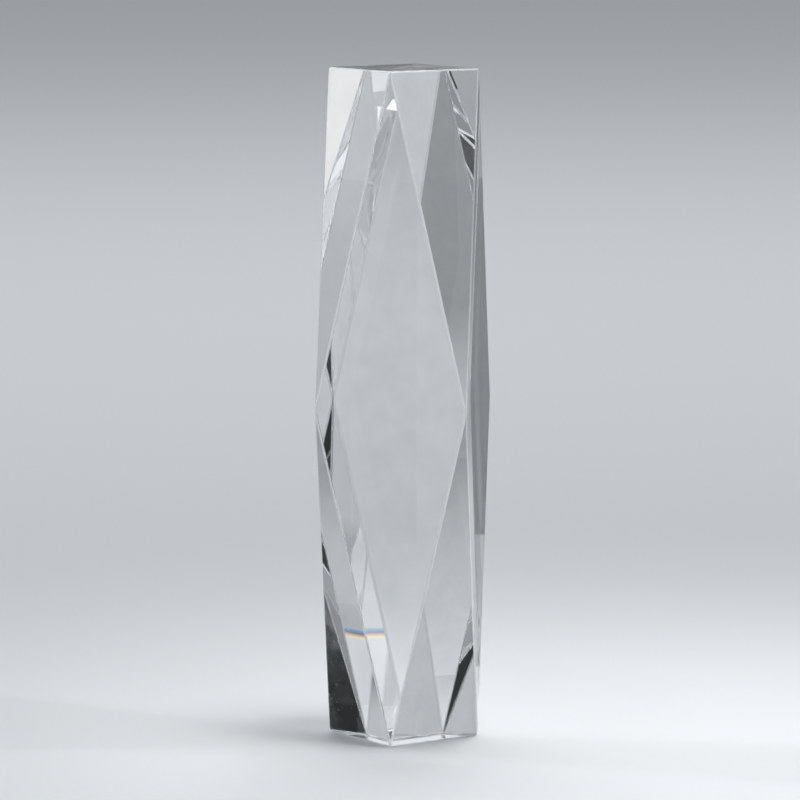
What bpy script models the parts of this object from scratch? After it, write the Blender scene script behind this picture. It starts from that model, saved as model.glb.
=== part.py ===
"""A tall faceted crystal award tower, cut and polished from one solid block of optical glass.

Frame: metres, +Z up, origin at the middle of the flat base. The block is square in plan. Each of
its two ends is ground down to a smaller square, turned by 45 degrees, whose corners are the
middles of the block's own end edges. That leaves one tall diamond on each side of the block and
eight triangles between them, which meet in pairs at the four belt corners halfway up.
"""

import math

import bpy

HEIGHT = 0.250
END_SIDE = 0.040
BLOCK_SIDE = END_SIDE * math.sqrt(2)
BELT_HEIGHT = HEIGHT / 2

ARRIS = 0.00010
BASE_ARRIS = 0.00060

CRYSTAL_COLOUR = (0.93, 0.95, 0.97, 1.0)
CRYSTAL_IOR = 1.52

QUARTERS = range(4)


def clear_scene():
    for obj in list(bpy.data.objects):
        bpy.data.objects.remove(obj, do_unlink=True)


def crystal_material():
    material = bpy.data.materials.new("optical_crystal")
    material.use_nodes = True
    shader = material.node_tree.nodes["Principled BSDF"]
    shader.inputs["Base Color"].default_value = CRYSTAL_COLOUR
    shader.inputs["Roughness"].default_value = 0.0
    shader.inputs["Metallic"].default_value = 0.0
    shader.inputs["IOR"].default_value = CRYSTAL_IOR
    shader.inputs["Transmission Weight"].default_value = 1.0
    return material


def ring_of_corners(radius, first_angle, z):
    """Four corners at a quarter turn from each other, counter-clockwise seen from above."""
    corners = []
    for quarter in QUARTERS:
        angle = first_angle + quarter * math.pi / 2
        corners.append((radius * math.cos(angle), radius * math.sin(angle), z))
    return corners


def crystal_mesh():
    """The sharp-edged block: 12 corners and 14 flat faces, all facing out."""
    end_radius = END_SIDE / math.sqrt(2)
    belt_radius = BLOCK_SIDE / math.sqrt(2)
    base = ring_of_corners(end_radius, 0.0, 0.0)
    belt = ring_of_corners(belt_radius, math.pi / 4, BELT_HEIGHT)
    top = ring_of_corners(end_radius, 0.0, HEIGHT)

    base_at = list(QUARTERS)
    belt_at = [len(base) + quarter for quarter in QUARTERS]
    top_at = [len(base) + len(belt) + quarter for quarter in QUARTERS]

    faces = [tuple(reversed(base_at)), tuple(top_at)]
    for quarter in QUARTERS:
        following = (quarter + 1) % 4
        before = quarter - 1
        faces.append((base_at[quarter], belt_at[quarter], top_at[quarter], belt_at[before]))
        faces.append((top_at[quarter], belt_at[quarter], top_at[following]))
        faces.append((base_at[following], belt_at[quarter], base_at[quarter]))

    mesh = bpy.data.meshes.new("crystal_block")
    mesh.from_pydata(base + belt + top, [], faces)
    mesh.validate()
    return mesh


def weigh_edges(mesh):
    """Marks how wide each edge's polished arris is, as a share of the arris round the base."""
    weights = mesh.attributes.new("bevel_weight_edge", "FLOAT", "EDGE")
    for edge in mesh.edges:
        heights = [mesh.vertices[index].co.z for index in edge.vertices]
        is_base_edge = max(heights) < BASE_ARRIS
        weights.data[edge.index].value = 1.0 if is_base_edge else ARRIS / BASE_ARRIS


def crystal_block():
    """The one solid block, with every edge taken off as a narrow flat arris."""
    mesh = crystal_mesh()
    weigh_edges(mesh)
    block = bpy.data.objects.new("crystal_block", mesh)
    bpy.context.scene.collection.objects.link(block)
    mesh.materials.append(crystal_material())

    arris = block.modifiers.new("arris", "BEVEL")
    arris.limit_method = "WEIGHT"
    arris.offset_type = "OFFSET"
    arris.width = BASE_ARRIS
    arris.segments = 1
    return block


clear_scene()
crystal_block()
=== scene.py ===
"""Looks, light and camera for the faceted crystal award tower.

Lengths are metres in the frame of the CAD model. Directions in the studio are bearings in degrees
as the camera sees them: 0 is straight ahead, past the block, and positive is to the right.
"""

import math

import bmesh
import bpy
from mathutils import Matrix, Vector


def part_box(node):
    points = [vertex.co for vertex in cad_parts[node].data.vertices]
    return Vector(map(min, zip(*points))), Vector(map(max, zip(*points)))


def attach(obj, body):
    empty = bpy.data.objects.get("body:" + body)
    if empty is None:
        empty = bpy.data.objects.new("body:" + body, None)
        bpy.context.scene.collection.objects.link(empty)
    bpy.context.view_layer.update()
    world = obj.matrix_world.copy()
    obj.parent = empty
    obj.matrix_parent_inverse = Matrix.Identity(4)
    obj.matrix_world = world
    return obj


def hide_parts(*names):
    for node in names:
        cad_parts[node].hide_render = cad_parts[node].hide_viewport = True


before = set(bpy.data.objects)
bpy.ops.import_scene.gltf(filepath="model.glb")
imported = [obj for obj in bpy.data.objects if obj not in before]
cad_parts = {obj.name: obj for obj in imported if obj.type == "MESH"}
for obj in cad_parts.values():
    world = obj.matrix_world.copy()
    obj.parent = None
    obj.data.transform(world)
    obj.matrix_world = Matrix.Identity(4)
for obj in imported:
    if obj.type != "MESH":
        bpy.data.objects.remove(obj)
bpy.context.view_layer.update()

# --- Sizes taken from the CAD model -------------------------------------------------------------

HIGH_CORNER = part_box("crystal_block")[1]
TOP = HIGH_CORNER.z
HALF = HIGH_CORNER.x
BELT = TOP / 2

# --- Edges --------------------------------------------------------------------------------------

ARRIS = 0.00010
BASE_ARRIS = 0.00060

# --- Camera settings ----------------------------------------------------------------------------

VIEW_TURN = math.radians(9.87)
CAMERA_DISTANCE = 1.809
CAMERA_HEIGHT = 0.350
AIM = Vector((-0.0013, 0.0, BELT + 0.0011))
LENS_MM = 220.0
SENSOR_MM = 36.0
NEAREST_SEEN = 0.05
FARTHEST_SEEN = 60.0


def bearing(degrees_right, distance, height):
    """The point at a bearing from the block, as the camera sees it."""
    angle = math.radians(degrees_right) - VIEW_TURN
    return Vector((distance * math.sin(angle), distance * math.cos(angle), height))


# --- Node helpers -------------------------------------------------------------------------------


def new_material(name):
    material = bpy.data.materials.new(name)
    material.use_nodes = True
    tree = material.node_tree
    return material, tree, tree.nodes["Principled BSDF"]


def node(tree, kind, **settings):
    made = tree.nodes.new(kind)
    for name, value in settings.items():
        setattr(made, name, value)
    return made


def put(tree, socket, value):
    """Links an output to a socket, or sets the socket to a plain value."""
    if isinstance(value, bpy.types.NodeSocket):
        tree.links.new(value, socket)
    else:
        socket.default_value = value


def object_place(tree):
    return node(tree, "ShaderNodeTexCoord").outputs["Object"]


def split(tree, vector):
    """The X, Y and Z of a vector, as outputs to look up by name."""
    parts = node(tree, "ShaderNodeSeparateXYZ")
    tree.links.new(vector, parts.inputs["Vector"])
    return parts.outputs


def math_node(tree, operation, *values, clamp=False):
    made = node(tree, "ShaderNodeMath", operation=operation, use_clamp=clamp)
    for socket, value in zip(made.inputs, values):
        put(tree, socket, value)
    return made.outputs[0]


def ramp(tree, value, low, high, out_low=0.0, out_high=1.0, smooth=False):
    """Maps a value from one range to another, and holds it at the ends."""
    made = node(tree, "ShaderNodeMapRange", clamp=True)
    if smooth:
        made.interpolation_type = "SMOOTHSTEP"
    for name, amount in zip(
        ("Value", "From Min", "From Max", "To Min", "To Max"), (value, low, high, out_low, out_high)
    ):
        put(tree, made.inputs[name], amount)
    return made.outputs["Result"]


def noise_node(tree, place, scale, detail=2.0, roughness=0.5):
    made = node(tree, "ShaderNodeTexNoise")
    put(tree, made.inputs["Vector"], place)
    for name, amount in (("Scale", scale), ("Detail", detail), ("Roughness", roughness)):
        made.inputs[name].default_value = amount
    return made.outputs["Fac"]


def mix_colour(tree, share, first, second):
    made = node(tree, "ShaderNodeMix", data_type="RGBA")
    put(tree, made.inputs["Factor"], share)
    put(tree, made.inputs["A"], first)
    put(tree, made.inputs["B"], second)
    return next(socket for socket in made.outputs if socket.type == "RGBA")


# --- The crystal's materials --------------------------------------------------------------------

# A RANGE is where noise goes from no effect to its full effect. A FADE is where dust dies out.

GLASS_IOR = 1.52
CLEAR = (1.0, 1.0, 1.0, 1.0)

CLOUD_SCALE = 95.0
CLOUD_DETAIL = 7.0
CLOUD_ROUGHNESS = 0.62
CLOUD_RANGE = (0.35, 0.65)
CLOUD_TINT = (0.905, 0.918, 0.938, 1.0)

HAZE_SCALE = 38.0
HAZE_DETAIL = 4.0
HAZE_RANGE = (0.45, 0.75)
MOST_HAZE = 0.012

WAVE_SCALE = 26.0
WAVE_HEIGHT = 0.00001

DUST_PATCH_SCALE = 70.0
DUST_PATCH_DETAIL = 3.0
DUST_PATCH_RANGE = (0.40, 0.56)
DUST_SPECK_SCALE = 1100.0
DUST_SPECK_RANGE = (0.66, 0.72)
DUST_FADE_UP = (0.02, 0.07)
DUST_FADE_RIGHT = (-0.014, -0.002)
MOST_DUST = 0.4

ARRIS_CLOUD_SCALE = 60.0
ARRIS_TINT = (0.95, 0.965, 0.98, 1.0)
ARRIS_ROUGHNESS = 0.15
ARRIS_TRANSMISSION = 0.8


def facet_roughness(tree, place):
    """Faint haze all over, and specks of dust in patches near the foot on the left."""
    haze_noise = noise_node(tree, place, HAZE_SCALE, HAZE_DETAIL)
    haze = ramp(tree, haze_noise, *HAZE_RANGE, 0.0, MOST_HAZE)
    parts = split(tree, place)
    low = ramp(tree, parts["Z"], *DUST_FADE_UP, 1.0, 0.0, smooth=True)
    left = ramp(tree, parts["X"], *DUST_FADE_RIGHT, 1.0, 0.0, smooth=True)
    patch_noise = noise_node(tree, place, DUST_PATCH_SCALE, DUST_PATCH_DETAIL)
    patches = ramp(tree, patch_noise, *DUST_PATCH_RANGE)
    speck_noise = noise_node(tree, place, DUST_SPECK_SCALE)
    specks = ramp(tree, speck_noise, *DUST_SPECK_RANGE, 0.0, MOST_DUST)
    dusty = math_node(tree, "MULTIPLY", math_node(tree, "MULTIPLY", low, left), patches)
    dust = math_node(tree, "MULTIPLY", specks, dusty)
    return math_node(tree, "ADD", haze, dust, clamp=True)


def polished_facets():
    """Flat polished optical glass with faint clouding, slight polishing waves and some dust."""
    material, tree, shader = new_material("polished_crystal")
    place = object_place(tree)
    tree.links.new(facet_roughness(tree, place), shader.inputs["Roughness"])

    bump = node(tree, "ShaderNodeBump")
    bump.inputs["Strength"].default_value = 1.0
    bump.inputs["Distance"].default_value = WAVE_HEIGHT
    tree.links.new(noise_node(tree, place, WAVE_SCALE), bump.inputs["Height"])
    tree.links.new(bump.outputs["Normal"], shader.inputs["Normal"])

    clouds = noise_node(tree, place, CLOUD_SCALE, CLOUD_DETAIL, CLOUD_ROUGHNESS)
    tint = mix_colour(tree, ramp(tree, clouds, *CLOUD_RANGE), CLOUD_TINT, CLEAR)
    tree.links.new(tint, shader.inputs["Base Color"])
    shader.inputs["IOR"].default_value = GLASS_IOR
    shader.inputs["Transmission Weight"].default_value = 1.0
    return material


def polished_arrises():
    """The narrow hand-polished edges: satin glass, less clear than the facets."""
    material, tree, shader = new_material("polished_arrises")
    clouds = noise_node(tree, object_place(tree), ARRIS_CLOUD_SCALE)
    tree.links.new(mix_colour(tree, clouds, ARRIS_TINT, CLEAR), shader.inputs["Base Color"])
    shader.inputs["Roughness"].default_value = ARRIS_ROUGHNESS
    shader.inputs["IOR"].default_value = GLASS_IOR
    shader.inputs["Transmission Weight"].default_value = ARRIS_TRANSMISSION
    return material


# --- The crystal's mesh -------------------------------------------------------------------------


def ring_of_corners(mesh, radius, first_angle, z):
    """Four corners at a quarter turn from each other, counter-clockwise seen from above."""
    corners = []
    for quarter in range(4):
        angle = first_angle + quarter * math.pi / 2
        corners.append(mesh.verts.new((radius * math.cos(angle), radius * math.sin(angle), z)))
    return corners


def sharp_block(mesh):
    """The block before its edges are taken off: two square ends, four diamonds, eight triangles."""
    base = ring_of_corners(mesh, HALF, 0.0, 0.0)
    belt = ring_of_corners(mesh, HALF * math.sqrt(2), math.pi / 4, BELT)
    top = ring_of_corners(mesh, HALF, 0.0, TOP)
    mesh.faces.new(list(reversed(base)))
    mesh.faces.new(top)
    for quarter in range(4):
        following = (quarter + 1) % 4
        mesh.faces.new((base[quarter], belt[quarter], top[quarter], belt[quarter - 1]))
        mesh.faces.new((top[quarter], belt[quarter], top[following]))
        mesh.faces.new((base[following], belt[quarter], base[quarter]))


def is_base_edge(edge):
    return max(vert.co.z for vert in edge.verts) < BASE_ARRIS


def take_off_edges(mesh):
    """Rounds every edge into an arris with a middle row of points, and returns the new faces."""
    weight = mesh.edges.layers.float.new("bevel_weight_edge")
    for edge in mesh.edges:
        edge[weight] = 1.0 if is_base_edge(edge) else ARRIS / BASE_ARRIS
    made = bmesh.ops.bevel(
        mesh,
        geom=mesh.edges[:],
        offset=BASE_ARRIS,
        offset_type="OFFSET",
        segments=2,
        profile=0.5,
        affect="EDGES",
    )
    return made["faces"]


def crystal():
    """The one piece: flat clear facets, and arrises with a material of their own."""
    mesh = bmesh.new()
    sharp_block(mesh)
    for face in take_off_edges(mesh):
        face.material_index = 1
        face.smooth = True
    data = bpy.data.meshes.new("crystal")
    mesh.normal_update()
    mesh.to_mesh(data)
    mesh.free()
    piece = bpy.data.objects.new("crystal", data)
    bpy.context.scene.collection.objects.link(piece)
    data.materials.append(polished_facets())
    data.materials.append(polished_arrises())
    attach(piece, "root")
    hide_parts("crystal_block")
    return piece


# --- Floor --------------------------------------------------------------------------------------

FLOOR_SIDE = 24.0
FLOOR_GAP = 0.0002
FLOOR_COLOUR = (0.78, 0.805, 0.83, 1.0)
FLOOR_ROUGHNESS = 0.6


def floor():
    """A plain pale floor, a hair below the block so that the two don't share a plane."""
    bpy.ops.mesh.primitive_plane_add(size=FLOOR_SIDE, location=(0.0, 0.0, -FLOOR_GAP))
    piece = bpy.context.object
    piece.name = "floor"
    material, _, shader = new_material("pale_floor")
    shader.inputs["Base Color"].default_value = FLOOR_COLOUR
    shader.inputs["Roughness"].default_value = FLOOR_ROUGHNESS
    piece.data.materials.append(material)


# --- Surround -----------------------------------------------------------------------------------

COOL_WHITE = (0.965, 1.0, 1.035)
WARM_WHITE = (1.01, 1.0, 0.985)
BACKDROP = 0.42
SIDE_BRIGHTNESS = 0.53
ZENITH_BRIGHTNESS = 0.18

# the heights of a unit direction between which the sides turn into the zenith
DIMMING_RISE = (0.40, 0.90)

# how softly a far card ends, and how nearly square to it a direction is when it no longer shows
FAR_BLUR = 0.006
GRAZING = 0.05

# bearing, elevation, half width and half height in degrees, then brightness
FAR_CARDS = (
    (108.0, 14.5, 26.0, 9.5, 0.012),
    (-154.0, 24.0, 26.0, 6.5, 0.02),
    (-156.0, 37.0, 24.0, 6.5, 0.08),
    (0.0, 11.5, 20.0, 4.0, 0.90),
    (0.0, 3.2, 6.0, 0.55, 0.17),
    (46.0, 27.0, 8.0, 6.0, 0.33),
    (-69.0, 22.0, 6.0, 4.0, 0.88),
    (-52.0, 52.0, 15.0, 9.0, 1.50),
)


def grey(brightness, tint=COOL_WHITE):
    """A grey of the studio, which is slightly cool unless another tint is named."""
    return tuple(brightness * part for part in tint) + (1.0,)


def far_card(tree, direction, toward, across, half_width, half_height):
    """How much of a flat far-off rectangle a ray along direction meets, from 0 to 1."""
    up = across.cross(toward)

    def along(axis):
        made = node(tree, "ShaderNodeVectorMath", operation="DOT_PRODUCT")
        tree.links.new(direction, made.inputs[0])
        made.inputs[1].default_value = axis
        return made.outputs["Value"]

    ahead = along(toward)
    share = ramp(tree, ahead, 0.0, GRAZING)
    for axis, half in ((across, half_width), (up, half_height)):
        offset = math_node(tree, "DIVIDE", along(axis), ahead)
        distance = math_node(tree, "ABSOLUTE", offset)
        inside = ramp(tree, distance, half - FAR_BLUR, half + FAR_BLUR, 1.0, 0.0, smooth=True)
        share = math_node(tree, "MULTIPLY", share, inside)
    return share


def surround():
    """A pale far-off surround with cards in it. The camera sees only a plain backdrop instead."""
    world = bpy.data.worlds.new("studio_surround")
    world.use_nodes = True
    bpy.context.scene.world = world
    tree = world.node_tree
    shader = tree.nodes["Background"]
    direction = node(tree, "ShaderNodeTexCoord").outputs["Generated"]
    rise = ramp(tree, split(tree, direction)["Z"], *DIMMING_RISE, smooth=True)
    colour = mix_colour(tree, rise, grey(SIDE_BRIGHTNESS), grey(ZENITH_BRIGHTNESS))
    for right, elevation, half_width, half_height, brightness in FAR_CARDS:
        up = math.radians(elevation)
        share = far_card(
            tree,
            direction,
            bearing(right, math.cos(up), math.sin(up)),
            bearing(right + 90.0, 1.0, 0.0),
            math.tan(math.radians(half_width)),
            math.tan(math.radians(half_height)),
        )
        colour = mix_colour(tree, share, colour, grey(brightness))
    seen = node(tree, "ShaderNodeLightPath").outputs["Is Camera Ray"]
    put(tree, shader.inputs["Color"], mix_colour(tree, seen, colour, grey(BACKDROP)))
    shader.inputs["Strength"].default_value = 1.0


# --- Lamps --------------------------------------------------------------------------------------

LAMP_COLOUR = (1.0, 0.99, 0.98)

# name, place and target as bearing, distance and height, side, spread in degrees, watts
SOFTBOXES = (
    ("key_softbox", (110.0, 0.20, 1.10), (110.0, 0.12, 0.0), 0.3, 45.0, 0.50),
    ("back_softbox", (0.0, 1.50, 3.00), (0.0, 1.50, 0.0), 1.6, 180.0, 39.0),
)
EDGE_LIGHT = ("edge_light", (-165.0, 0.36, 1.90), (0.0, 0.0, BELT), 0.6, 180.0, 22.0)


def softbox(name, place, target, side, spread, power):
    """A square light that the camera doesn't see."""
    stand = bearing(*place)
    lamp = bpy.data.lights.new(name, "AREA")
    lamp.shape = "SQUARE"
    lamp.size = side
    lamp.spread = math.radians(spread)
    lamp.energy = power
    lamp.color = LAMP_COLOUR
    piece = bpy.data.objects.new(name, lamp)
    piece.location = stand
    piece.rotation_euler = (bearing(*target) - stand).to_track_quat("-Z", "Y").to_euler()
    piece.visible_camera = False
    bpy.context.scene.collection.objects.link(piece)
    return piece


def edge_light(piece):
    """A high front light that falls on the block alone and shows only on its satin edges."""
    lamp = softbox(*EDGE_LIGHT)
    lit = bpy.data.collections.new("lit_by_edge_light")
    lit.objects.link(piece)
    lamp.light_linking.receiver_collection = lit
    lamp.visible_glossy = False
    lamp.visible_transmission = False


# --- Cards --------------------------------------------------------------------------------------

CARD_LIFT = 0.0005
BLACK = (0.0, 0.0, 0.0, 1.0)

MOTTLE_SCALE = 260.0
MOTTLE_DETAIL = 5.0
MOTTLE_ROUGHNESS = 0.6
MOTTLE_RANGE = (0.35, 0.65)
MOTTLE_STRENGTHS = (0.5, 1.7)


def card(name, corners, brightness, tint=COOL_WHITE):
    """A flat card whose glow is painted light or shade: it stands in for lit or shaded
    surroundings, and shows only in reflections and refractions.
    """
    data = bpy.data.meshes.new(name)
    data.from_pydata(corners, [], [(0, 1, 2, 3)])
    piece = bpy.data.objects.new(name, data)
    bpy.context.scene.collection.objects.link(piece)
    material, _, shader = new_material(name)
    shader.inputs["Base Color"].default_value = BLACK
    shader.inputs["Specular IOR Level"].default_value = 0.0
    shader.inputs["Emission Color"].default_value = grey(1.0, tint)
    shader.inputs["Emission Strength"].default_value = brightness
    data.materials.append(material)
    piece.visible_camera = False
    piece.visible_diffuse = False
    piece.visible_shadow = False
    return piece


def standing_card(name, right, distance, width, height, brightness=1.0, foot=0.0):
    """An upright card that faces the block, on the floor unless its foot is higher."""
    half = bearing(right + 90.0, width / 2, 0.0)
    low = bearing(right, distance, foot)
    high = bearing(right, distance, foot + height)
    return card(name, (low - half, low + half, high + half, high - half), brightness)


def lying_card(name, corners, brightness, tint=COOL_WHITE, lift=CARD_LIFT):
    """A card that lies on the floor, with each corner given as a bearing and a distance."""
    return card(name, [bearing(*corner, lift) for corner in corners], brightness, tint)


def lying_sector(name, first, last, near, far, brightness=1.0, tint=COOL_WHITE, lift=CARD_LIFT):
    """A card that lies on the floor between two bearings and two distances."""
    corners = ((first, near), (first, far), (last, far), (last, near))
    return lying_card(name, corners, brightness, tint, lift)


def colour_ramp(tree, measure, stops):
    """Colours a card by a measure, through stops of measure and colour."""
    low = stops[0][0]
    high = stops[-1][0]
    colours = node(tree, "ShaderNodeValToRGB")
    tree.links.new(ramp(tree, measure, low, high), colours.inputs["Fac"])
    elements = colours.color_ramp.elements
    elements[0].color = stops[0][1]
    elements[1].color = stops[-1][1]
    for amount, colour in stops[1:-1]:
        elements.new((amount - low) / (high - low)).color = colour
    tree.links.new(colours.outputs["Color"], tree.nodes["Principled BSDF"].inputs["Emission Color"])


def height_ramp(piece, stops):
    """Colours a standing card by height."""
    tree = piece.data.materials[0].node_tree
    colour_ramp(tree, split(tree, object_place(tree))["Z"], stops)


def distance_ramp(piece, stops):
    """Colours a lying card by distance from the block."""
    tree = piece.data.materials[0].node_tree
    length = node(tree, "ShaderNodeVectorMath", operation="LENGTH")
    tree.links.new(object_place(tree), length.inputs[0])
    colour_ramp(tree, length.outputs["Value"], stops)


def mottle(piece):
    """Makes a card's glow brighter and darker in patches: painted mottling of light and shade."""
    tree = piece.data.materials[0].node_tree
    place = object_place(tree)
    clouds = noise_node(tree, place, MOTTLE_SCALE, MOTTLE_DETAIL, MOTTLE_ROUGHNESS)
    strength = ramp(tree, clouds, *MOTTLE_RANGE, *MOTTLE_STRENGTHS)
    tree.links.new(strength, tree.nodes["Principled BSDF"].inputs["Emission Strength"])


def greys(*stops):
    """Turns stops of measure and brightness into stops of measure and studio grey."""
    return tuple((amount, grey(brightness)) for amount, brightness in stops)


# The glowing cards seen through the glass paint light and shade. Each gives a facet its tone, or
# draws a small mark in it.

# name, bearing, distance, width, height, brightness
FRONT_BLACK_CARD = ("front_black_card", -157.5, 0.450, 0.050, 0.170, 0.02)

# Painted light and shade on the floor: each lying card's glow stands in for a lit or shaded patch
# of floor seen through the glass.
# name, first and last bearing, nearest and farthest distance, brightness, and a tint if not cool
LYING_CARDS = (
    ("right_white_card", 111.0, 113.8, 0.265, 0.375, 0.88, WARM_WHITE),
    ("right_black_strip", 109.7, 110.5, 0.275, 0.335, 0.03),
    ("right_black_card", 132.7, 134.2, 0.235, 0.265, 0.06),
    ("right_front_card", 138.2, 140.0, 0.335, 0.375, 0.04),
    ("front_grey_card", -151.0, -147.0, 0.300, 0.360, 0.28),
    ("front_left_card", -121.5, -117.5, 0.500, 0.580, 0.26),
    ("front_near_card", -122.0, -114.0, 0.085, 0.135, 0.28),
    ("left_grey_card", -70.0, -64.0, 0.430, 0.550, 0.39),
    ("back_white_card", -3.9, -2.5, 0.785, 0.840, 0.86),
)

# A painted rainbow fringe: bands of colour that stand in for the glass splitting light at the edge
# of a pale patch of floor.
PAINTED_RAINBOW_FRINGES = (
    (0.0275, grey(0.72)),
    (0.0286, (0.88, 0.82, 0.46, 1.0)),
    (0.0295, (0.66, 0.45, 0.42, 1.0)),
    (0.0304, (0.20, 0.20, 0.42, 1.0)),
    (0.0314, (0.20, 0.38, 0.50, 1.0)),
    (0.0325, grey(0.55)),
)
# Painted light and shade: glows that grow paler or darker with height, seen through the glass.
BACK_PALE_GREYS = greys(
    (0.0, 0.60), (0.025, 0.58), (0.045, 0.45), (0.055, 0.45), (0.068, 0.60), (0.16, 0.62)
)
LEFT_GREYS = greys((0.0, 0.72), (0.06, 0.51), (0.10, 0.32), (0.22, 0.34))
FAR_LEFT_GREYS = greys((0.0, 0.76), (0.07, 0.78), (0.10, 0.42), (0.15, 0.16), (0.22, 0.04))

# name, bearing, distance, width and height, then colours by height
FADING_CARDS = (
    ("left_fading_card", (-26.4, 0.30, 0.08, 0.22), LEFT_GREYS),
    ("far_left_fading_card", (-41.6, 0.30, 0.08, 0.22), FAR_LEFT_GREYS),
    ("painted_rainbow_card", (26.3, 0.2, 0.042, 0.0325), PAINTED_RAINBOW_FRINGES),
    ("back_pale_card", (33.8, 1.0, 0.105, 0.16), BACK_PALE_GREYS),
)

# Painted shade: a dark glow with a paler band, mottled, that draws the dark wedge and its clouded
# tones seen through the glass.
RIGHT_DARK_FOOT = 0.078
RIGHT_DARK_CARD = ("right_dark_card", 102.2, 0.2024, 0.0375, 0.082)
RIGHT_DARK_GREYS = greys(
    (RIGHT_DARK_FOOT, 0.02), (0.09, 0.02), (0.102, 0.06), (0.112, 0.13), (0.12, 0.16),
    (0.135, 0.01), (0.16, 0.01),
)

# Painted floor light seen through the glass: a glow that grows brighter with distance from the
# block.
BACK_RIGHT_CARD = ("back_right_card", 25.5, 46.0, 0.47, 1.08)
BACK_RIGHT_GREYS = greys((0.47, 0.46), (0.62, 0.465), (0.83, 0.48), (1.00, 0.51), (1.08, 0.535))

# A painted glint: a small bright glowing card that shows as a white glint under the front top
# corner.
# corners as bearing and distance
PAINTED_GLINT_CORNERS = ((38.80, 1.088), (39.05, 1.116), (39.30, 1.110), (39.30, 1.083))
PAINTED_GLINT_BRIGHTNESS = 1.7
# A painted dark mark: a thin, nearly black glowing strip seen through the glass.
SLIVER_CARD = ("left_dark_sliver", -66.34, -66.16, 0.502, 0.527, 0.02)

# The cards mirrored on the facets: painted reflections, dark and grey glows that show only as
# mirror images.

# name, bearing, distance, width, height, brightness
MIRRORED_STANDING_CARDS = (
    ("front_mirrored_card", -160.0, 0.05, 0.09, 0.26, 0.02),
    ("back_mirrored_card", 29.6, 0.153, 0.08, 0.25, 0.30),
)

# name, corners as bearing and distance, brightness
MIRRORED_LYING_CARDS = (
    ("left_mirrored_card", ((-80.0, 0.0295), (-62.0, 0.36), (-95.0, 0.36), (-168.0, 0.0295)), 0.10),
    ("right_mirrored_card", ((98.0, 0.0295), (98.0, 0.30), (120.0, 0.30), (188.0, 0.0295)), 0.05),
)


def cards():
    """The glowing cards that paint light and shade: those that show only through the glass, and
    those that show only as mirror images.
    """
    seen = [standing_card(*FRONT_BLACK_CARD)]
    seen += [lying_sector(*settings) for settings in LYING_CARDS]
    mirrored = [standing_card(*settings) for settings in MIRRORED_STANDING_CARDS]
    mirrored += [lying_card(*settings) for settings in MIRRORED_LYING_CARDS]

    for name, settings, stops in FADING_CARDS:
        fading = standing_card(name, *settings)
        height_ramp(fading, stops)
        seen.append(fading)
    dark = standing_card(*RIGHT_DARK_CARD, foot=RIGHT_DARK_FOOT)
    height_ramp(dark, RIGHT_DARK_GREYS)
    mottle(dark)
    behind = lying_sector(*BACK_RIGHT_CARD)
    distance_ramp(behind, BACK_RIGHT_GREYS)
    glint = lying_card("painted_glint_card", PAINTED_GLINT_CORNERS, PAINTED_GLINT_BRIGHTNESS)
    # The sliver lies on top of the left grey card.
    sliver = lying_sector(*SLIVER_CARD, lift=2 * CARD_LIFT)
    seen += [dark, behind, glint, sliver]

    for piece in seen:
        piece.visible_glossy = False
    for piece in mirrored:
        piece.visible_transmission = False


def studio(piece):
    floor()
    surround()
    for settings in SOFTBOXES:
        softbox(*settings)
    cards()
    edge_light(piece)


# --- Camera and light paths ---------------------------------------------------------------------

MOST_BOUNCES = 40
MOST_GLASS_BOUNCES = 32


def camera():
    data = bpy.data.cameras.new("camera")
    data.lens = LENS_MM
    data.sensor_width = SENSOR_MM
    data.clip_start = NEAREST_SEEN
    data.clip_end = FARTHEST_SEEN
    piece = bpy.data.objects.new("camera", data)
    piece.location = bearing(180.0, CAMERA_DISTANCE, CAMERA_HEIGHT)
    piece.rotation_euler = (AIM - piece.location).to_track_quat("-Z", "Y").to_euler()
    bpy.context.scene.collection.objects.link(piece)
    bpy.context.scene.camera = piece


def light_paths():
    """Long light paths, because a ray may turn many times inside the block before it leaves."""
    scene = bpy.context.scene
    scene.cycles.max_bounces = MOST_BOUNCES
    scene.cycles.transmission_bounces = MOST_GLASS_BOUNCES
    scene.cycles.glossy_bounces = MOST_GLASS_BOUNCES
    scene.cycles.use_denoising = True
    scene.view_settings.view_transform = "Standard"


studio(crystal())
camera()
light_paths()
